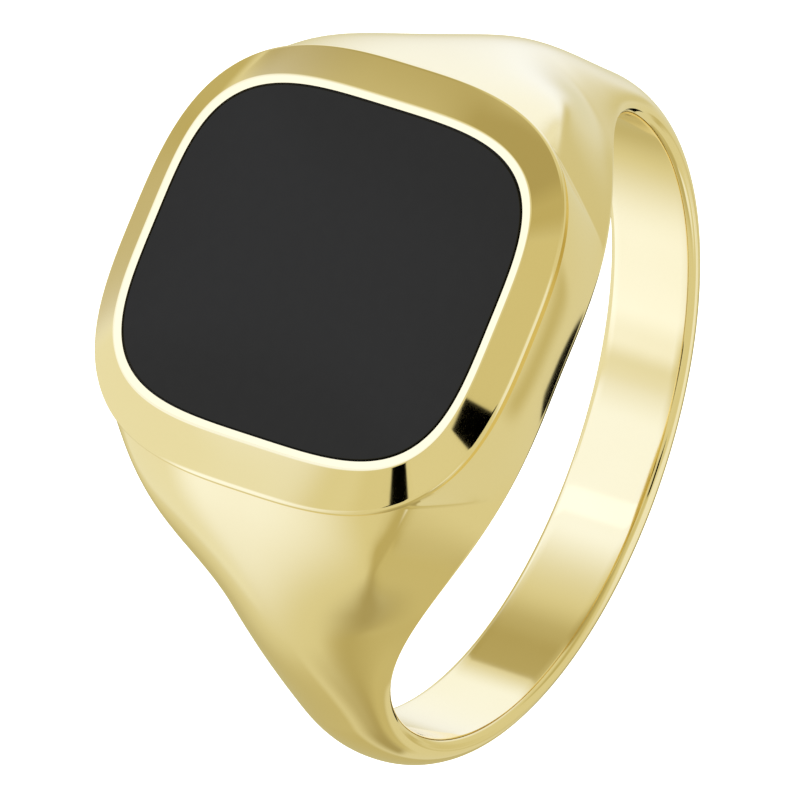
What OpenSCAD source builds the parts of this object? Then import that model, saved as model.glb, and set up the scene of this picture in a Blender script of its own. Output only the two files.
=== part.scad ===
// Signet ring: a cast gold shank with wide shoulders, a bevelled bezel frame
// soldered on its head, and a flat cushion-shaped onyx plate cemented inside.
// Frame: the origin is the centre of the finger hole, +Y runs along the finger,
// +Z points up through the stone, and the shoulders lie towards -X and +X.

/* [Finger hole] */
// Radius of the finger hole
bore_r = 9.5; // [9.3:0.05:9.7]
// Rounding of the hole's rim at the back of the band
rim_band = 0.22; // [0.1:0.02:0.4]
// Rounding of the hole's rim under the head
rim_head = 0.45; // [0.3:0.05:0.6]

/* [Band] */
// Wall thickness at the back of the band
band_t = 1.1; // [1:0.05:1.4]
// Half width of the band at its back
band_w = 1.44; // [1.3:0.02:2]
// Half width of the hole's rim under the head
head_w = 6.35; // [6:0.02:6.5]
// Angle from the head over which the width falls off
taper_deg = 52.1; // [50:0.5:56]
// Power of that fall
taper_pow = 2.61; // [2.4:0.01:2.8]

/* [Shoulders] */
// Half width of the shoulder crease, measured as if it met under the stone
crease_w = 6.3; // [6.1:0.01:6.4]
// Angle over which the crease closes in
crease_deg = 37.9; // [37:0.1:40]
// Power of that closing
crease_pow = 2.05; // [2:0.01:2.3]
// Radius of the crease from the hole's axis, measured as if it met under the stone
crease_rho = 14.6; // [14.4:0.1:14.9]
// Power with which that radius falls to the band's
crease_drop = 2.15; // [2.1:0.01:2.5]
// Crown of the band, measured from its edges to its middle
band_crown = 0.32; // [0.2:0.02:0.4]
// Angle from vertical at which a shoulder leaves the bezel
leave_deg = 33.9; // [32:0.1:37]
// Pull of the shoulder curve at the bezel end
leave_pull = 6; // [5.5:0.1:6.3]
// Pull of the shoulder curve at the band end
join_pull = 4.2; // [3.9:0.1:4.5]
// Angle from the head at which a shoulder has become plain band
join_deg = 80.4; // [78:0.2:84]
// Crispness of the crease beside the bezel, where 2 is an ellipse
crisp_head = 12; // [5:0.5:14]
// Crispness of the band's edges
crisp_band = 2.4; // [2:0.1:3]

/* [Bezel frame] */
// Height of the stone and the lip above the hole's centre
top_z = 13.62; // [13.5:0.01:13.9]
// Height of the bevel's outer edge
edge_z = 13.06; // [12.9:0.01:13.2]
// Half length of the bevel's outer edge across the shoulders
edge_x = 6.57; // [6.5:0.01:6.7]
// Half length of the bevel's outer edge along the finger
edge_y = 6.53; // [6.4:0.01:6.7]
// Squareness of the bevel's outer edge, where 2 is an ellipse
edge_n = 3; // [2.8:0.1:3.4]
// Width of the flat lip round the stone
lip_w = 0.28; // [0.2:0.02:0.4]
// Height of the frame's narrow upright edge below the bevel
wall_h = 0.15; // [0.1:0.01:0.25]

/* [Stone] */
// Half length of the onyx plate across the shoulders
stone_x = 5.03; // [4.9:0.01:5.1]
// Half length of the onyx plate along the finger
stone_y = 5.43; // [5.3:0.01:5.5]
// Squareness of the plate's outline
stone_n = 3.65; // [3.3:0.05:4.2]
// Thickness of the plate
stone_t = 1; // [0.8:0.05:1.2]
// Thickness of the cement under the plate
bed_t = 0.1; // [0.05:0.01:0.15]
// Cement left and right of the plate
cement_gap = 0.05; // [0.03:0.01:0.08]

/* [Solder] */
// Thickness of the solder between the frame and the shank
solder_t = 0.05; // [0.03:0.01:0.08]
// How far the solder stays inside the frame's edge
reveal = 0.04; // [0.02:0.01:0.1]

/* [Hidden] */
band_r = bore_r + band_t;
wall_z = edge_z - wall_h;
seat_z = wall_z - solder_t;
stone_z = top_z - stone_t;
bed_z = stone_z - bed_t;
// The blank stands this far above the seat, which is then cut flat.
spare = 4;
// The blank's inside, which the bore cuts away.
blank_r = bore_r - 0.6;
// The blank's bore side stays this far outside the bore's surface at its rims.
clear = 0.02;
// The crease ends this much wider than the rim at the back of the band.
edge_soft = 0.13;
// Past the crease's angle by this much, the sections turn from crisp to rounded.
crisp_extra = 14;
crisp_pow = 4;
// The crease leaves the shoulder's own crown over this angle past the bezel.
fade_deg = 24;
end_phi = atan2(edge_x, seat_z);
// Over this angle the shoulder's plan shape fades out before the plain band.
plan_fade = 20;
// The sides bulge by this much at the head, and less up to this angle.
side_bulge = 0.09;
bulge_deg = 45;
// A flank runs on above the seat by at most this share of its height.
flank_spare = 0.3;
rim_steps = 3;
side_steps = 11;
outline_steps = 72;
head_steps = 13;
shoulder_steps = 9;
band_steps = 17;
gold = [0.86, 0.74, 0.42];
pale_gold = [0.93, 0.84, 0.55];
solder_gold = [0.80, 0.68, 0.38];
black = [0.05, 0.05, 0.055];
grey = [0.25, 0.24, 0.22];

// Signed power, which squares off a circle's sine or cosine.
function spow(v, p) = sign(v) * pow(abs(v), p);
// Other half width of a cushion outline where one half width is v.
function across(v, hv, hw, n) = hw * pow(1 - pow(v / hv, n), 1 / n);
// Point of a cushion outline at angle a.
function cushion(hx, hy, n, a) = [hx * spow(cos(a), 2 / n), hy * spow(sin(a), 2 / n)];
function outline(hx, hy, n) = [
    for (i = [0 : outline_steps - 1]) cushion(hx, hy, n, (i + 0.5) * 360 / outline_steps)
];
function smooth(a, b, v) = let (t = max(0, min(1, (v - a) / (b - a)))) t * t * (3 - 2 * t);
function mix(a, b, t) = a + (b - a) * t;
// Bell that falls from 1 at the head to 0 at the back of the band.
function bell(phi, deg, p) = exp(-pow(min(abs(phi), 360 - phi) / deg, p));

// Half width of the hole's rim, and of the crease, at angle phi from the head.
function rim_w(phi) = mix(band_w, head_w, bell(phi, taper_deg, taper_pow));
function rim_round(phi) = mix(rim_band, rim_head, bell(phi, taper_deg, taper_pow));
function crease(phi) = [
    mix(band_w + edge_soft, crease_w, bell(phi, crease_deg, crease_pow)),
    mix(band_r - band_crown, crease_rho, bell(phi, crease_deg, crease_drop))
];
function crisp(phi) =
    mix(crisp_band, crisp_head, bell(phi, crease_deg + crisp_extra, crisp_pow));

// Shoulder line in the XZ plane: a Bezier curve from the bezel to the band.
line_a = [edge_x, seat_z];
line_d = band_r * [sin(join_deg), cos(join_deg)];
line_b = line_a + leave_pull * [sin(leave_deg), -cos(leave_deg)];
line_c = line_d + join_pull * [-cos(join_deg), sin(join_deg)];
function bezier(t) = pow(1 - t, 3) * line_a + 3 * pow(1 - t, 2) * t * line_b
    + 3 * (1 - t) * t * t * line_c + pow(t, 3) * line_d;

// A section's side, from the hole's rim out over the crease, as [y, rho].
function rim_arc(phi) = let (r = rim_round(phi), w = rim_w(phi)) [
    [w - r - clear, blank_r],
    for (i = [0 : rim_steps]) let (a = 90 * i / rim_steps)
        [w - r + r * sin(a), bore_r + clear + r - r * cos(a)]
];
// The shoulder keeps the plan shape of the frame's outline, so it falls away from the
// frame at one angle all the way round. This is how far it falls between two y.
function plan_x(y) = across(min(y, 0.999 * edge_y), edge_y, edge_x, edge_n);
function lean(phi) = max(0, min(1, (join_deg - abs(phi)) / plan_fade))
    / (sin(abs(phi)) + tan(leave_deg) * cos(phi));
function plan_fall(phi, y0, y1) = phi > join_deg ? 0 : lean(phi) * (plan_x(y0) - plan_x(y1));
// The crease's point on the section whose top is q.
function corner(phi, q) = let (c = crease(phi), own = q[1] - plan_fall(phi, q[0], c[0]))
    [c[0], mix(own, c[1], smooth(end_phi, end_phi + fade_deg, phi))];
// Curve from p over the corner k to q, the top. Under a flank the top is cut off.
function corner_curve(phi, p, k, q, flank) = let (
    m = crisp(phi),
    bulge = side_bulge * (1 - smooth(0, bulge_deg, phi)),
    rest = k[1] - q[1] + plan_fall(phi, q[0], k[0])
) [
    for (i = [1 : side_steps]) let (
        a = 90 * i / (side_steps + 1),
        size = pow(pow(cos(a), m) + pow(sin(a), m), 1 / m),
        up = sin(a) / size,
        t = 1 - cos(a) / size,
        y = mix(k[0], q[0], t),
        curved = q[1] - plan_fall(phi, q[0], y) + rest * (1 - t) * (1 - t)
    ) [
        mix(p[0], k[0], up) + 4 * bulge * up * (1 - up) + (q[0] - k[0]) * t,
        mix(p[1], k[1], up) + (flank ? mix(k[1], q[1], t) : curved) - k[1]
    ]
];
function start(phi) = [rim_w(phi), bore_r + clear + rim_round(phi)];
function place(phi, p) = [p[1] * sin(phi), p[0], p[1] * cos(phi)];
function section(phi, side, top) = concat(
    [for (p = side) place(phi, [-p[0], p[1]])],
    [place(phi, [0, top])],
    [for (i = [len(side) - 1 : -1 : 0]) place(phi, side[i])]
);

// Under the frame a section runs on above the seat. Its flank, or further round its
// crown, meets the frame's outline at the seat.
function head_section(phi, mirror_x) = let (
    x = seat_z * tan(phi),
    p = start(phi),
    o = [across(x, edge_x, edge_y, edge_n), seat_z / cos(phi)],
    rho = o[1] + lean(phi) * (edge_x - x),
    k = corner(phi, [0, rho]),
    flank = o[0] > k[0],
    q = [0, flank ? o[1] + spare : rho],
    over = min(flank_spare, (k[1] - o[1]) / (o[1] - p[1])),
    curve = corner_curve(phi, p, flank ? mix(p, o, 1 + over) : k, q, flank)
) section(mirror_x * phi, concat(rim_arc(phi), curve), q[1]);
// Sections of the shoulders and the band.
function open_section(phi, rho) = let (
    q = [0, rho],
    curve = corner_curve(abs(phi), start(phi), corner(abs(phi), q), q, false)
) section(phi, concat(rim_arc(phi), curve), rho);
function shoulder_section(t, mirror_x) = let (p = bezier(t))
    open_section(mirror_x * atan2(p[0], p[1]), norm(p));

sections = concat(
    [for (i = [0 : head_steps - 1]) head_section(end_phi * i / head_steps, 1)],
    [for (i = [0 : shoulder_steps]) shoulder_section(i / shoulder_steps, 1)],
    [for (i = [1 : 2 * band_steps - 1])
        open_section(mix(join_deg, 360 - join_deg, i / (2 * band_steps)), band_r)],
    [for (i = [shoulder_steps : -1 : 0]) shoulder_section(i / shoulder_steps, -1)],
    [for (i = [head_steps - 1 : -1 : 1]) head_section(end_phi * i / head_steps, -1)]
);

// Closed surface through rings of points, joined end to end.
module ring_loft(rings) {
    n = len(rings);
    m = len(rings[0]);
    faces = [
        for (i = [0 : n - 1]) for (j = [0 : m - 1]) let (
            a = i * m + j,
            b = i * m + (j + 1) % m,
            c = ((i + 1) % n) * m + (j + 1) % m,
            d = ((i + 1) % n) * m + j
        ) each [[a, b, c], [a, c, d]]
    ];
    polyhedron(points = [for (r = rings) each r], faces = faces);
}

module cushion_prism(hx, hy, n, low, high) {
    translate([0, 0, low])
        linear_extrude(high - low)
            polygon(outline(hx, hy, n));
}

// Band, shoulders and head in one casting, with a flat seat and the stone's pocket.
module shank() {
    color(gold)
        difference() {
            ring_loft(sections);
            rotate([90, 0, 0])
                cylinder(h = 4 * head_w, r = bore_r, center = true, $fn = 180);
            translate([-2 * edge_x, -2 * edge_y, seat_z])
                cube([4 * edge_x, 4 * edge_y, 2 * spare]);
            pocket(bed_z, top_z);
        }
}

// The space that the stone and its cement fill.
module pocket(low, high) {
    cushion_prism(stone_x + cement_gap, stone_y + cement_gap, stone_n, low, high);
}

// Solder between the frame and the seat.
module solder_seam() {
    color(solder_gold)
        difference() {
            cushion_prism(edge_x - reveal, edge_y - reveal, edge_n, seat_z, wall_z);
            pocket(seat_z - 1, top_z);
        }
}

// Frame round the stone: narrow upright edge, wide bevel and flat lip.
module bezel_frame() {
    profile = [
        [stone_x + cement_gap, stone_y + cement_gap, stone_n, wall_z],
        [edge_x, edge_y, edge_n, wall_z],
        [edge_x, edge_y, edge_n, edge_z],
        [stone_x + lip_w, stone_y + lip_w, stone_n, top_z],
        [stone_x + cement_gap, stone_y + cement_gap, stone_n, top_z]
    ];
    color(pale_gold)
        ring_loft([
            for (i = [0 : outline_steps - 1]) let (a = (i + 0.5) * 360 / outline_steps) [
                for (p = profile) let (c = cushion(p[0], p[1], p[2], a)) [c[0], c[1], p[3]]
            ]
        ]);
}

// Cement under the plate and in the narrow gap round it.
module cement_bed() {
    color(grey)
        difference() {
            pocket(bed_z, top_z - 0.1);
            cushion_prism(stone_x, stone_y, stone_n, stone_z, top_z + 1);
        }
}

// Flat polished onyx plate.
module onyx_plate() {
    color(black)
        cushion_prism(stone_x, stone_y, stone_n, stone_z, top_z);
}

shank();
solder_seam();
bezel_frame();
cement_bed();
onyx_plate();
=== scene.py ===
import math

import bmesh
import bpy
import numpy as np
from mathutils import Matrix, Vector


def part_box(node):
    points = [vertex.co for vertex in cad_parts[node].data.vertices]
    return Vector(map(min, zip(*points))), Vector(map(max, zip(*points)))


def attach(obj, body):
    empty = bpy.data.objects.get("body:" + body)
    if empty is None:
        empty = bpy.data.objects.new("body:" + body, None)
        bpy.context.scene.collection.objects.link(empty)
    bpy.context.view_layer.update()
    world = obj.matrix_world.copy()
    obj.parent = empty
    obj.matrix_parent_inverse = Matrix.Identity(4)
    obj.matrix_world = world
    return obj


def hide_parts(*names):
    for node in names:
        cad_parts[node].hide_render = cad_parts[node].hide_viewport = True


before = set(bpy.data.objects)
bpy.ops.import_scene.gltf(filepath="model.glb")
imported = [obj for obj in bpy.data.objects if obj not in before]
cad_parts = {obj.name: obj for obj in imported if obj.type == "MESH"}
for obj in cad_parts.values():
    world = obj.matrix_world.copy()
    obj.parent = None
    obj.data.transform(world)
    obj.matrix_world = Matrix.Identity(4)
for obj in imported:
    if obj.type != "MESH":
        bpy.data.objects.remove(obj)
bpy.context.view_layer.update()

# Signet ring. Lengths are in mm here and become metres where a mesh is made.
# +Z points up through the stone, +Y runs along the finger, the shoulders lie
# towards -X and +X, and the origin is the centre of the finger hole.
MM = 0.001


def half_size(node):
    """Half lengths along X and Y, and the lowest and highest Z, of a CAD node in mm."""
    lo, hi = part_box(node)
    return (hi.x - lo.x) / 2 / MM, (hi.y - lo.y) / 2 / MM, lo.z / MM, hi.z / MM


STONE_X, STONE_Y, STONE_Z, TOP_Z = half_size("onyx_plate")
EDGE_X, EDGE_Y, WALL_Z, _ = half_size("bezel_frame")
BED_Z = half_size("cement_bed")[2]
SEAT_Z = half_size("solder_seam")[2]

# Finger hole and band. The hole's rim has a half width and a rounding, each given at the
# back of the band and under the head, and a bell-shaped taper between the two.
BORE_R = 9.5
BAND_T = 1.1
BAND_R = BORE_R + BAND_T
BAND_W, HEAD_W = 1.44, 6.35
RIM_BAND, RIM_HEAD = 0.22, 0.45
TAPER_DEG, TAPER_POW = 52.1, 2.61
# The band's crown, from its edges to its middle
BAND_CROWN = 0.32
# Crease of the shoulders: its half width and its radius from the hole's axis under the
# stone, and the bells with which they fall to the band's
CREASE_W, CREASE_DEG, CREASE_POW = 6.3, 37.9, 2.05
CREASE_RHO, CREASE_DROP = 14.6, 2.15
# At the back of the band the crease is this much wider than the hole's rim.
EDGE_SOFT = 0.13
# The crease leaves the shoulder's own crown over this angle past the bezel.
CREASE_FADE = 24.0
# Crispness of the crease and of the band's edges, where 2 is an ellipse. The crease is
# sharp at the bezel's corner and softens over SHARP_DEG.
CRISP_HEAD, CRISP_BAND, CRISP_EXTRA, CRISP_POW = 12, 2.4, 14.0, 4.0
SHARP, SHARP_DEG = 30.0, 36.0
# Shoulder line, a curve from the bezel to the band: its direction and pull at each end
LEAVE_DEG, LEAVE_PULL = 33.9, 6
JOIN_DEG, JOIN_PULL = 80.4, 4.2
# The shoulder's plan shape fades out over this angle before the plain band.
PLAN_FADE = 20.0
# The sides of the head bulge by this much in their middle, and no more at this angle.
SIDE_BULGE, BULGE_DEG = 0.09, 45.0
# Under the frame the sections run on above the seat: a flank by this share of its height,
# and its top by this much. The seat is then cut flat.
FLANK_SPARE, SPARE = 0.3, 4.0
# Squareness of the stone's outline and the frame's, where 2 is an ellipse
STONE_N, EDGE_N = 3.65, 3
# Width of the flat lip, and of the cement's gap beside the stone
LIP_W, GAP = 0.28, 0.05
# The frame's outer edge stands upright for this height, and the bevel starts above it.
WALL_H = 0.15
EDGE_Z = WALL_Z + WALL_H
# Roundings of the bevel's outer edge, of the lip and of the stone
ARRIS, LIP_ROUND = 0.14, 0.05
STONE_FILLET = 0.03
# A rounding takes at most this share of a side.
ROUND_SHARE = 0.6
# The cement in the gap ends this far below the stone's face.
CEMENT_LOW = 0.1
# Points closer than this are welded.
WELD, SHANK_WELD = 1e-5, 1e-4
# An outline this small, in mm or as a share, closes a flat face in its middle.
MIDDLE = 0.001
# An outline is followed across to this share of its half width.
NEAR_END = 0.999


def bell(phi, deg, power):
    """Falls from 1 at the head to 0 at the back of the band."""
    return np.exp(-((np.minimum(abs(phi), 360 - phi) / deg) ** power))


def mix(a, b, t):
    return a + (b - a) * t


def smooth(a, b, v):
    t = np.clip((v - a) / (b - a), 0, 1)
    return t * t * (3 - 2 * t)


def across(v, hv, hw, n):
    """Other half width of a cushion outline where one half width is v."""
    return hw * np.clip(1 - (v / hv) ** n, 0, 1) ** (1 / n)


def mesh_object(name, verts, faces, material, weld=WELD, finish=None):
    """A closed mesh from points in mm, with shared points welded and smooth shading."""
    me = bpy.data.meshes.new(name)
    me.from_pydata([tuple(v) for v in np.asarray(verts) * MM], [], faces)
    bm = bmesh.new()
    bm.from_mesh(me)
    bmesh.ops.remove_doubles(bm, verts=bm.verts, dist=weld * MM)
    bmesh.ops.dissolve_degenerate(bm, edges=bm.edges, dist=weld * MM)
    if finish:
        finish(bm)
    bmesh.ops.recalc_face_normals(bm, faces=bm.faces)
    if bm.calc_volume(signed=True) < 0:
        bmesh.ops.reverse_faces(bm, faces=bm.faces)
    for f in bm.faces:
        f.smooth = True
    bm.to_mesh(me)
    bm.free()
    me.materials.append(material)
    o = bpy.data.objects.new(name, me)
    bpy.context.scene.collection.objects.link(o)
    return o


def sharpen(o, degrees):
    """Edges sharper than this stay crisp."""
    o.data.set_sharp_from_angle(angle=math.radians(degrees))


def grid_faces(rows, cols, closed_rows=False, closed_cols=False, start=0):
    """Four-sided faces between rows of points, whose first point is number start."""
    out = []
    for i in range(rows if closed_rows else rows - 1):
        for j in range(cols if closed_cols else cols - 1):
            a = start + i * cols + j
            b = start + i * cols + (j + 1) % cols
            c = start + ((i + 1) % rows) * cols + (j + 1) % cols
            d = start + ((i + 1) % rows) * cols + j
            out.append((a, b, c, d))
    return out


# The shank's sections lie in planes through the hole's axis, at angle phi from the head.
# A section's points are [y, rho], where rho is the distance from the axis.
END_DEG = math.degrees(math.atan2(EDGE_X, SEAT_Z))
BORE_STEPS, RIM_STEPS, SIDE_STEPS = 6, 10, 64
HEAD_STEPS, SHOULDER_STEPS, BAND_STEPS = 80, 56, 72


def rim_w(phi):
    """Half width of the hole's rim."""
    return mix(BAND_W, HEAD_W, bell(phi, TAPER_DEG, TAPER_POW))


def rim_round(phi):
    return mix(RIM_BAND, RIM_HEAD, bell(phi, TAPER_DEG, TAPER_POW))


def crease_y(phi):
    return mix(BAND_W + EDGE_SOFT, CREASE_W, bell(phi, CREASE_DEG, CREASE_POW))


def seat_point(phi):
    """Where a section under the frame meets the frame's outline at the seat."""
    f = np.radians(np.minimum(phi, END_DEG))
    return np.stack([across(SEAT_Z * np.tan(f), EDGE_X, EDGE_Y, EDGE_N), SEAT_Z / np.cos(f)], -1)


def bezel_corner():
    """The angle at which the crease meets the frame's outline."""
    phi = np.linspace(0, END_DEG, 2000)
    return phi[np.argmax(seat_point(phi)[:, 0] < crease_y(phi))]


CORNER_DEG = bezel_corner()


def crisp(phi):
    plain = mix(CRISP_BAND, CRISP_HEAD, bell(phi, CREASE_DEG + CRISP_EXTRA, CRISP_POW))
    return mix(SHARP, plain, smooth(CORNER_DEG, CORNER_DEG + SHARP_DEG, phi))


def lean(phi):
    """Fall of the shoulder along its section for each mm that the frame's outline falls in X."""
    f = np.radians(phi)
    slope = 1 / (np.sin(f) + math.tan(math.radians(LEAVE_DEG)) * np.cos(f))
    return np.where(phi > JOIN_DEG, 0, slope * np.clip((JOIN_DEG - phi) / PLAN_FADE, 0, 1))


def head_tops():
    """Angles of the sections under the frame, and how high their tops would be."""
    phi = END_DEG * np.arange(HEAD_STEPS) / HEAD_STEPS
    f = np.radians(phi)
    return phi, SEAT_Z / np.cos(f) + lean(phi) * (EDGE_X - SEAT_Z * np.tan(f))


def shoulder_tops():
    """Angles and tops of the shoulder's sections, on a Bezier curve in the XZ plane."""
    t = (np.arange(SHOULDER_STEPS + 1) / SHOULDER_STEPS)[:, None]
    leave, join = math.radians(LEAVE_DEG), math.radians(JOIN_DEG)
    a = np.array([EDGE_X, SEAT_Z])
    d = BAND_R * np.array([math.sin(join), math.cos(join)])
    b = a + LEAVE_PULL * np.array([math.sin(leave), -math.cos(leave)])
    c = d + JOIN_PULL * np.array([-math.cos(join), math.sin(join)])
    line = (1 - t) ** 3 * a + 3 * (1 - t) ** 2 * t * b + 3 * (1 - t) * t * t * c + t ** 3 * d
    return np.degrees(np.arctan2(line[:, 0], line[:, 1])), np.hypot(line[:, 0], line[:, 1])


def band_tops():
    phi = mix(JOIN_DEG, 180, np.arange(1, BAND_STEPS + 1) / BAND_STEPS)
    return phi, np.full(BAND_STEPS, BAND_R)


def outline_x(y):
    """Where the frame's outline lies at y, which stops just short of the outline's end."""
    return across(np.clip(y, 0, EDGE_Y * NEAR_END), EDGE_Y, EDGE_X, EDGE_N)


def plan_fall(phi, y0, y1):
    """How far the shoulder falls between two y.

    It keeps the plan shape of the frame's outline, so it falls away from the frame at
    one angle all the way round."""
    return lean(phi)[:, None] * (outline_x(y0) - outline_x(y1))


def crease_point(phi, top):
    """The crease, which beside the bezel lies on the shoulder's own crown."""
    y = crease_y(phi)[:, None]
    rho = mix(BAND_R - BAND_CROWN, CREASE_RHO, bell(phi, CREASE_DEG, CREASE_DROP))[:, None]
    own = top[:, 1:] - plan_fall(phi, top[:, :1], y)
    fade = smooth(END_DEG, END_DEG + CREASE_FADE, phi)[:, None]
    return np.concatenate([y, mix(own, rho, fade)], -1)


def crown(phi, crease, top, along, flank):
    """Height of a section between its crease and its top, which is straight over a flank."""
    y = crease[:, :1] + (top - crease)[:, :1] * along
    rest = crease[:, 1:] - top[:, 1:] + plan_fall(phi, top[:, :1], crease[:, :1])
    curved = top[:, 1:] - plan_fall(phi, top[:, :1], y) + rest * (1 - along) ** 2
    straight = crease[:, 1:] + (top - crease)[:, 1:] * along
    return np.where(flank[:, None], straight, curved)


def bore_and_rim(phi):
    """Sections of the hole's wall, from its middle, and of the rounding at its rim."""
    w, r = rim_w(phi)[:, None], rim_round(phi)[:, None]
    share = np.arange(BORE_STEPS) / BORE_STEPS
    wall = np.stack([(w - r) * share, np.full((len(phi), BORE_STEPS), BORE_R)], -1)
    turn = np.linspace(0, math.pi / 2, RIM_STEPS + 1)[None]
    arc = np.stack([(w - r) + r * np.sin(turn), BORE_R + r * (1 - np.cos(turn))], -1)
    return np.concatenate([wall, arc], 1)


def side_and_crown(phi, rho):
    """Sections from the rim over the crease to the top: quarters of a squared-off ellipse,
    sheared to run through those three points."""
    rim = np.stack([rim_w(phi), BORE_R + rim_round(phi)], -1)
    crease = crease_point(phi, np.stack([0 * rho, rho], -1))
    seat = seat_point(phi)
    flank = (phi < END_DEG) & (seat[:, 0] > crease[:, 0])
    over = np.minimum(FLANK_SPARE, (crease[:, 1] - seat[:, 1]) / (seat[:, 1] - rim[:, 1]))
    crease = np.where(flank[:, None], mix(rim, seat, 1 + over[:, None]), crease)
    top = np.stack([0 * rho, np.where(flank, seat[:, 1] + SPARE, rho)], -1)
    turn = np.linspace(0, math.pi / 2, SIDE_STEPS + 1)[None, 1:]
    power = crisp(phi)[:, None]
    size = (np.clip(np.cos(turn), 0, 1) ** power + np.sin(turn) ** power) ** (1 / power)
    up, along = np.sin(turn) / size, 1 - np.clip(np.cos(turn), 0, 1) / size
    bulge = SIDE_BULGE * (1 - smooth(0, BULGE_DEG, phi))[:, None] * 4 * up * (1 - up)
    side = rim[:, None] + (crease - rim)[:, None] * up[..., None]
    inward = (top - crease)[:, :1] * along + bulge
    rise = crown(phi, crease, top, along, flank) - crease[:, 1:]
    return side + np.stack([inward, rise], -1)


def half_shank():
    """The shank's sections at +Y and +X, with the head's running on above the seat."""
    phi, rho = (np.concatenate(parts) for parts in zip(head_tops(), shoulder_tops(), band_tops()))
    points = np.concatenate([bore_and_rim(phi), side_and_crown(phi, rho)], 1)
    y, rho, f = points[..., 0], points[..., 1], np.radians(phi)[:, None]
    return np.stack([rho * np.sin(f), y, rho * np.cos(f)], -1)


def cut_seat(bm):
    """Cut the head flat at the seat and sink the stone's pocket into it."""
    everything = bm.verts[:] + bm.edges[:] + bm.faces[:]
    bmesh.ops.bisect_plane(bm, geom=everything, dist=1e-9, plane_co=(0, 0, SEAT_Z * MM),
                           plane_no=(0, 0, 1), clear_outer=True)
    edge = [v for v in bm.verts if v.is_boundary]
    ring = sorted(edge, key=lambda v: math.atan2(v.co.y, v.co.x))
    for share, z in ((1, SEAT_Z), (1, BED_Z), (0.5, BED_Z), (MIDDLE, BED_Z)):
        inner = []
        for v in ring:
            turn = math.atan2(v.co.y / STONE_Y, v.co.x / STONE_X)
            c, d = math.cos(turn), math.sin(turn)
            size = share * (abs(c) ** STONE_N + abs(d) ** STONE_N) ** (-1 / STONE_N)
            x, y = (STONE_X + GAP) * c * size, (STONE_Y + GAP) * d * size
            inner.append(bm.verts.new((x * MM, y * MM, z * MM)))
        for i in range(len(ring)):
            bm.faces.new((ring[i - 1], ring[i], inner[i], inner[i - 1]))
        ring = inner
    bm.faces.new(ring)


def shank(material):
    half = half_shank()
    rows = np.concatenate([half, (half * [-1, 1, 1])[-2:0:-1]])
    n, m = rows.shape[:2]
    verts = np.concatenate([rows.reshape(-1, 3), (rows * [1, -1, 1]).reshape(-1, 3)])
    faces = grid_faces(n, m, closed_rows=True) + grid_faces(n, m, closed_rows=True, start=n * m)
    o = mesh_object("shank_gold", verts, faces, material, weld=SHANK_WELD, finish=cut_seat)
    sharpen(o, degrees=40)
    return o


OUTLINE_STEPS = 400
ANGLES = (np.arange(OUTLINE_STEPS) + 0.5) * 2 * math.pi / OUTLINE_STEPS


def outline_points(hx, hy, n):
    """Cushion outline at even polar angles, so that rings of several sizes line up."""
    c, s = np.cos(ANGLES), np.sin(ANGLES)
    scale = (abs(c) ** n + abs(s) ** n) ** (-1 / n)
    return np.stack([hx * c * scale, hy * s * scale], -1)


def ring_solid(name, profile, material, degrees):
    """Closed solid through cushion-shaped rings, whose profile rows are hx, hy, n, z."""
    rings = [
        np.c_[outline_points(hx, hy, n), np.full(OUTLINE_STEPS, z)]
        for hx, hy, n, z in profile
    ]
    faces = grid_faces(len(rings), OUTLINE_STEPS, closed_rows=True, closed_cols=True)
    o = mesh_object(name, np.concatenate(rings), faces, material)
    sharpen(o, degrees)
    return o


def rounded(points, radii, steps):
    """Open polyline of hx, hy, n, z rows with its inner corners rounded off."""
    pts = [np.array(p, float) for p in points]
    out = [pts[0]]
    for a, b, c, radius in zip(pts, pts[1:], pts[2:], radii):
        la = np.linalg.norm((a - b)[[0, 3]])
        lc = np.linalg.norm((c - b)[[0, 3]])
        p = b + (a - b) * min(ROUND_SHARE, radius / la)
        q = b + (c - b) * min(ROUND_SHARE, radius / lc)
        for i in range(steps + 1):
            t = i / steps
            out.append((1 - t) ** 2 * p + 2 * t * (1 - t) * b + t * t * q)
    out.append(pts[-1])
    return out


def bezel(material):
    foot = [STONE_X + GAP, STONE_Y + GAP, STONE_N, WALL_Z]
    base = [EDGE_X, EDGE_Y, EDGE_N, WALL_Z]
    edge = [EDGE_X, EDGE_Y, EDGE_N, EDGE_Z]
    lip = [STONE_X + LIP_W, STONE_Y + LIP_W, STONE_N, TOP_Z]
    inner = [STONE_X + GAP, STONE_Y + GAP, STONE_N, TOP_Z]
    outer = rounded([base, edge, lip, inner], (ARRIS, LIP_ROUND), steps=8)
    return ring_solid("bezel_gold", [foot] + outer, material, degrees=50)


def seam(material):
    profile = [
        [STONE_X + GAP, STONE_Y + GAP, STONE_N, SEAT_Z],
        [EDGE_X, EDGE_Y, EDGE_N, SEAT_Z],
        [EDGE_X, EDGE_Y, EDGE_N, WALL_Z],
        [STONE_X + GAP, STONE_Y + GAP, STONE_N, WALL_Z],
    ]
    return ring_solid("solder_joint", profile, material, degrees=40)


def cement(material):
    high = TOP_Z - CEMENT_LOW
    profile = [
        [MIDDLE, MIDDLE, STONE_N, BED_Z],
        [STONE_X + GAP, STONE_Y + GAP, STONE_N, BED_Z],
        [STONE_X + GAP, STONE_Y + GAP, STONE_N, high],
        [STONE_X, STONE_Y, STONE_N, high],
        [STONE_X, STONE_Y, STONE_N, STONE_Z],
        [MIDDLE, MIDDLE, STONE_N, STONE_Z],
    ]
    return ring_solid("cement_line", profile, material, degrees=40)


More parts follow.
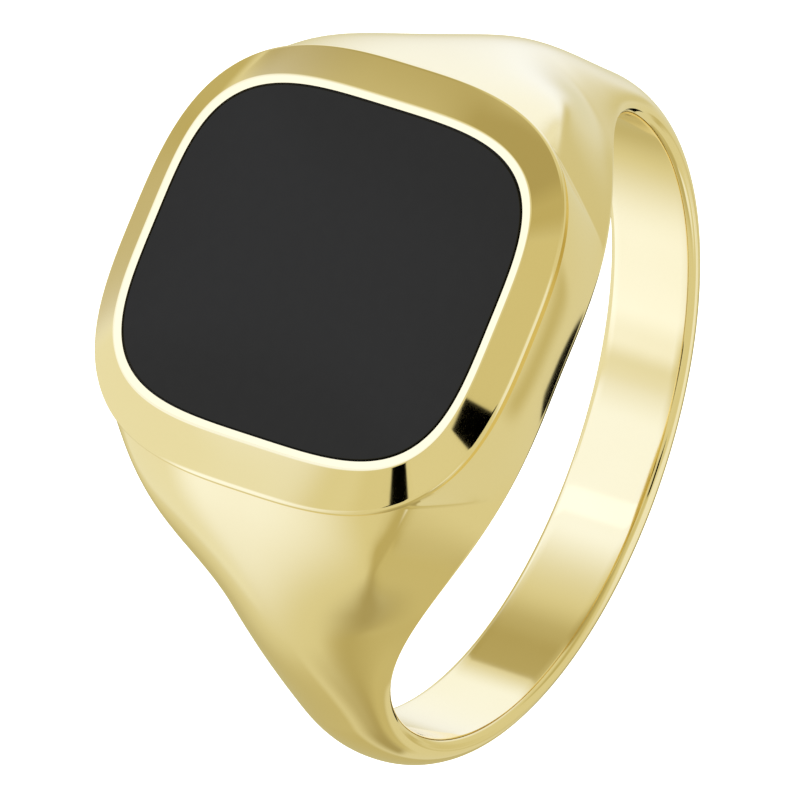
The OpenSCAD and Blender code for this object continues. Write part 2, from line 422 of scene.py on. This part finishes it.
def plate(material):
    side = [
        [MIDDLE, MIDDLE, STONE_N, STONE_Z],
        [STONE_X, STONE_Y, STONE_N, STONE_Z],
        [STONE_X, STONE_Y, STONE_N, TOP_Z],
        [MIDDLE, MIDDLE, STONE_N, TOP_Z],
    ]
    outer = rounded(side, (STONE_FILLET, STONE_FILLET), steps=4)
    return ring_solid("onyx_stone", outer, material, degrees=50)


# Materials
def new_material(name):
    m = bpy.data.materials.new(name)
    m.use_nodes = True
    nt = m.node_tree
    bsdf = next(n for n in nt.nodes if n.type == "BSDF_PRINCIPLED")
    return m, nt, bsdf


def gold_material(name, colour, tint, roughness, wear):
    """Polished gold: slightly uneven tone, fine polishing haze and faint ripples."""
    m, nt, bsdf = new_material(name)
    add = nt.nodes.new
    link = nt.links.new
    bsdf.inputs["Metallic"].default_value = 1.0
    coord = add("ShaderNodeTexCoord")
    tone = add("ShaderNodeTexNoise")
    tone.inputs["Scale"].default_value = 160.0
    tone.inputs["Detail"].default_value = 3.0
    link(coord.outputs["Object"], tone.inputs["Vector"])
    ramp = add("ShaderNodeValToRGB")
    ramp.color_ramp.elements[0].position = 0.35
    ramp.color_ramp.elements[1].position = 0.65
    ramp.color_ramp.elements[0].color = (*colour, 1)
    ramp.color_ramp.elements[1].color = (*tint, 1)
    link(tone.outputs["Fac"], ramp.inputs["Fac"])
    link(ramp.outputs["Color"], bsdf.inputs["Base Color"])
    haze = add("ShaderNodeTexNoise")
    haze.inputs["Scale"].default_value = 900.0
    haze.inputs["Detail"].default_value = 4.0
    link(coord.outputs["Object"], haze.inputs["Vector"])
    span = add("ShaderNodeMapRange")
    span.inputs["From Min"].default_value = 0.3
    span.inputs["From Max"].default_value = 0.7
    span.inputs["To Min"].default_value = roughness
    span.inputs["To Max"].default_value = roughness + wear
    link(haze.outputs["Fac"], span.inputs["Value"])
    link(span.outputs["Result"], bsdf.inputs["Roughness"])
    ripple = add("ShaderNodeTexNoise")
    ripple.inputs["Scale"].default_value = 300.0
    ripple.inputs["Detail"].default_value = 2.0
    link(coord.outputs["Object"], ripple.inputs["Vector"])
    bump = add("ShaderNodeBump")
    bump.inputs["Strength"].default_value = 0.05
    bump.inputs["Distance"].default_value = 0.00001
    link(ripple.outputs["Fac"], bump.inputs["Height"])
    link(bump.outputs["Normal"], bsdf.inputs["Normal"])
    return m


def onyx_material():
    m, nt, bsdf = new_material("onyx")
    coord = nt.nodes.new("ShaderNodeTexCoord")
    grain = nt.nodes.new("ShaderNodeTexNoise")
    grain.inputs["Scale"].default_value = 2500.0
    grain.inputs["Detail"].default_value = 5.0
    nt.links.new(coord.outputs["Object"], grain.inputs["Vector"])
    ramp = nt.nodes.new("ShaderNodeValToRGB")
    ramp.color_ramp.elements[0].color = (0.002, 0.002, 0.0021, 1)
    ramp.color_ramp.elements[1].color = (0.006, 0.0062, 0.0063, 1)
    nt.links.new(grain.outputs["Fac"], ramp.inputs["Fac"])
    nt.links.new(ramp.outputs["Color"], bsdf.inputs["Base Color"])
    bsdf.inputs["IOR"].default_value = 1.38
    bsdf.inputs["Specular Tint"].default_value = (1.0, 0.90, 0.66, 1)
    bsdf.inputs["Roughness"].default_value = 0.12
    return m


def cement_material():
    m, nt, bsdf = new_material("cement")
    coord = nt.nodes.new("ShaderNodeTexCoord")
    grain = nt.nodes.new("ShaderNodeTexNoise")
    grain.inputs["Scale"].default_value = 1500.0
    nt.links.new(coord.outputs["Object"], grain.inputs["Vector"])
    ramp = nt.nodes.new("ShaderNodeValToRGB")
    ramp.color_ramp.elements[0].color = (0.012, 0.011, 0.010, 1)
    ramp.color_ramp.elements[1].color = (0.035, 0.033, 0.030, 1)
    nt.links.new(grain.outputs["Fac"], ramp.inputs["Fac"])
    nt.links.new(ramp.outputs["Color"], bsdf.inputs["Base Color"])
    bsdf.inputs["Roughness"].default_value = 0.7
    return m


GOLD = (0.97, 0.84, 0.48)
GOLD_TINT = (0.96, 0.82, 0.45)
gold = gold_material("gold_shank", GOLD, GOLD_TINT, 0.05, 0.03)
gold_frame = gold_material("gold_frame", GOLD, GOLD_TINT, 0.04, 0.03)
gold_solder = gold_material("gold_solder", GOLD, GOLD_TINT, 0.08, 0.05)

for piece, node in (
    (shank(gold), "shank"),
    (bezel(gold_frame), "bezel_frame"),
    (seam(gold_solder), "solder_seam"),
    (cement(cement_material()), "cement_bed"),
    (plate(onyx_material()), "onyx_plate"),
):
    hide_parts(node)
    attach(piece, "root")

# Studio
scene = bpy.context.scene
scene.view_settings.view_transform = "Standard"
scene.view_settings.look = "None"

# The studio's light by direction: azimuth from +X towards +Y and height above the
# horizon, in degrees. Each panel is a soft-edged rectangle of even brightness.
# A panel's numbers are its azimuths, its heights, its soft edge left and right,
# its soft edge below and above, and its brightness, where 0 is a black card.
# ROOM is the brightness of the rest. A separate least-squares program fitted ROOM and the
# panels to the colours that the gold mirrors in the photograph, and the numbers are its rounded
# output. In the last fits "lip light", "dark floor", "lens hood" and "camera" were held as set.
ROOM = 0.70
PANELS = {
    "back wall": (142, 202, 29, 54, 9, 7, 8, 0.43),
    "right wall": (132, 136, -11, 63, 20, 8, 9, 0.52),
    "bore wall": (-153, -136, 5, 17, 12, 2, 24, 0.44),
    "left wall": (-142, -108, -23, -2, 13, 4, 6, 0.53),
    "left corner": (-106, -86, -12, -2, 7, 6, 8, 0.51),
    "far panel": (-172, -153, -42, -8, 30, 26, 15, 0.97),
    "far side": (170, 168, -55, -24, 11, 6, 12, 0.85),
    "overhead": (-125, -51, 37, 90, 27, 39, 5, 0.99),
    "lip light": (-117, -103, 57, 68, 4, 4, 4, 1.10),
    "front panel": (-66, -39, -1, 35, 41, 41, 8, 1.10),
    "front strip": (-22, -21, 38, 56, 14, 14, 4, 0.72),
    "front shade": (15, 38, -55, -30, 17, 18, 25, 0.50),
    "floor": (-98, -26, -90, -57, 10, 4, 21, 0.54),
    "flank floor": (18, 34, -66, -56, 8, 8, 9, 0.57),
    "crease shade": (-1, 5, -67, -61, 21, 4, 25, 0.40),
    "flank light": (44, 64, -40, -32, 7, 6, 10, 0.88),
    "rim light": (94, 104, -53, 8, 6, 6, 8, 0.87),
    "low side": (107, 127, -68, -68, 12, 5, 5, 0.55),
    "low back": (123, 188, -61, -61, 17, 4, 12, 0.64),
    "dark floor": (127, 200, -90, -76, 3, 2, 1, 0.00),
    "left front": (-83, -40, -30, 42, 10, 6, 8, 0.82),
    "front top": (-10, 2, 40, 56, 11, 4, 4, 0.68),
    "right top": (27, 73, 31, 62, 2, 6, 7, 0.71),
    "right edge": (92, 119, 30, 56, 4, 4, 6, 0.64),
    "lens hood": (7, 20, 36, 58, 2, 2, 2, 0.00),
    "camera": (76, 92, 27, 49, 1, 1, 1, 0.00),
}
# Bright panels are cool and dim walls warm, as photographed.
GREEN_DIM, GREEN_LIT = 0.75, 0.96
BLUE_DIM, BLUE_LIT = 0.21, 0.75
DIM, LIT = 0.42, 1.0
GREEN_POWER, BLUE_POWER = 1.3, 2


def light_colour(level):
    """Colour of a panel that polished gold turns into the tone wanted at that level."""
    t = min(1.0, max(0.0, (level - DIM) / (LIT - DIM)))
    green = GREEN_DIM + (GREEN_LIT - GREEN_DIM) * t ** GREEN_POWER
    blue = BLUE_DIM + (BLUE_LIT - BLUE_DIM) * t ** BLUE_POWER
    return tuple(level * want / have for want, have in zip((1.0, green, blue), GOLD)) + (1.0,)


def studio_world():
    world = bpy.data.worlds.new("studio")
    scene.world = world
    world.use_nodes = True
    nt = world.node_tree
    add, link = nt.nodes.new, nt.links.new

    def maths(operation, *values):
        node = add("ShaderNodeMath")
        node.operation = operation
        for socket, value in zip(node.inputs, values):
            if isinstance(value, (int, float)):
                socket.default_value = value
            else:
                link(value, socket)
        return node.outputs[0]

    def ramp(value, from_min, from_max, to_min, to_max):
        node = add("ShaderNodeMapRange")
        node.interpolation_type = "SMOOTHSTEP"
        link(value, node.inputs["Value"])
        keys = ("From Min", "From Max", "To Min", "To Max")
        for key, number in zip(keys, (from_min, from_max, to_min, to_max)):
            node.inputs[key].default_value = number
        return node.outputs["Result"]

    coord = add("ShaderNodeTexCoord")
    split = add("ShaderNodeSeparateXYZ")
    link(coord.outputs["Generated"], split.inputs[0])
    x, y, z = split.outputs
    azimuth = maths("MULTIPLY", maths("ARCTAN2", y, x), 180 / math.pi)
    height = maths("MULTIPLY", maths("ARCSINE", z), 180 / math.pi)
    colour = None
    for name, (az0, az1, el0, el1, soft, below, above, level) in PANELS.items():
        middle, half = (az0 + az1) / 2, (az1 - az0) / 2
        turn = maths("ABSOLUTE", maths("WRAP", maths("SUBTRACT", azimuth, middle), 180.0, -180.0))
        side = ramp(turn, half, half + soft, 1.0, 0.0)
        low = ramp(height, el0 - below, el0, 0.0, 1.0)
        high = ramp(height, el1, el1 + above, 1.0, 0.0)
        share = maths("MULTIPLY", maths("MULTIPLY", low, high), side)
        mixer = add("ShaderNodeMix")
        mixer.label = name
        mixer.data_type = "RGBA"
        link(share, mixer.inputs[0])
        if colour is None:
            mixer.inputs[6].default_value = light_colour(ROOM)
        else:
            link(colour, mixer.inputs[6])
        mixer.inputs[7].default_value = light_colour(level)
        colour = mixer.outputs[2]
    background = next(n for n in nt.nodes if n.type == "BACKGROUND")
    link(colour, background.inputs["Color"])


studio_world()


# The white set: its glow, the floor's gap under the ring, and the outline of the floor's
# rim and the backdrop as distance from the middle and height, in mm.
SET_GLOW = 1.0
FLOOR_GAP = 0.02
FLOOR_Z = -BAND_R - FLOOR_GAP
BACKDROP = ((800.0, FLOOR_Z), (1200.0, 80.0), (1400.0, 400.0), (1400.0, 1500.0))
SET_STEPS = 48


def white_material(name, glow):
    m, _, bsdf = new_material(name)
    bsdf.inputs["Base Color"].default_value = (0.9, 0.9, 0.9, 1)
    bsdf.inputs["Roughness"].default_value = 0.8
    bsdf.inputs["Emission Color"].default_value = (1, 1, 1, 1)
    bsdf.inputs["Emission Strength"].default_value = glow
    return m


def stage_mesh(name, verts, faces, material):
    """Part of the white set. The gold mirrors the studio's panels, not the set."""
    me = bpy.data.meshes.new(name)
    me.from_pydata([tuple(c * MM for c in v) for v in verts], [], faces)
    me.materials.append(material)
    o = bpy.data.objects.new(name, me)
    o.visible_glossy = False
    o.visible_diffuse = False
    o.visible_shadow = False
    scene.collection.objects.link(o)
    return o


def studio_set():
    """A plain pale floor that curves up into a plain backdrop on every side."""
    turns = [2 * math.pi * i / SET_STEPS for i in range(SET_STEPS)]
    verts = [(r * math.cos(t), r * math.sin(t), z) for r, z in BACKDROP for t in turns]
    faces = [tuple(range(SET_STEPS))] + grid_faces(len(BACKDROP), SET_STEPS, closed_cols=True)
    stage_mesh("floor", verts, faces, white_material("set_white", SET_GLOW))


studio_set()

# Camera at the photograph's viewing angle: its direction and roll in degrees, its distance
# and the width it sees there in mm, and where the hole's centre lies, in mm to the right
# and up of the picture's middle
VIEW_AZ, VIEW_EL, VIEW_ROLL = 160.27, 62.64, -50.13
VIEW_DISTANCE = 333.3
VIEW_WIDTH = 23.300
AIM_RIGHT, AIM_UP = 2.582, -0.386


def camera():
    a, e = math.radians(VIEW_AZ), math.radians(VIEW_EL)
    back = Vector((math.sin(a) * math.cos(e), -math.cos(a) * math.cos(e), math.sin(e)))
    roll = Matrix.Rotation(math.radians(VIEW_ROLL), 3, "Z")
    turn = (-back).to_track_quat("-Z", "Y").to_matrix() @ roll
    right, up = turn.col[0], turn.col[1]
    data = bpy.data.cameras.new("camera")
    data.sensor_width = 36.0
    data.lens = data.sensor_width * VIEW_DISTANCE / VIEW_WIDTH
    data.clip_start, data.clip_end = 0.01, 10.0
    o = bpy.data.objects.new("camera", data)
    where = (back * VIEW_DISTANCE - right * AIM_RIGHT - up * AIM_UP) * MM
    o.matrix_world = Matrix.Translation(where) @ turn.to_4x4()
    scene.collection.objects.link(o)
    scene.camera = o


camera()
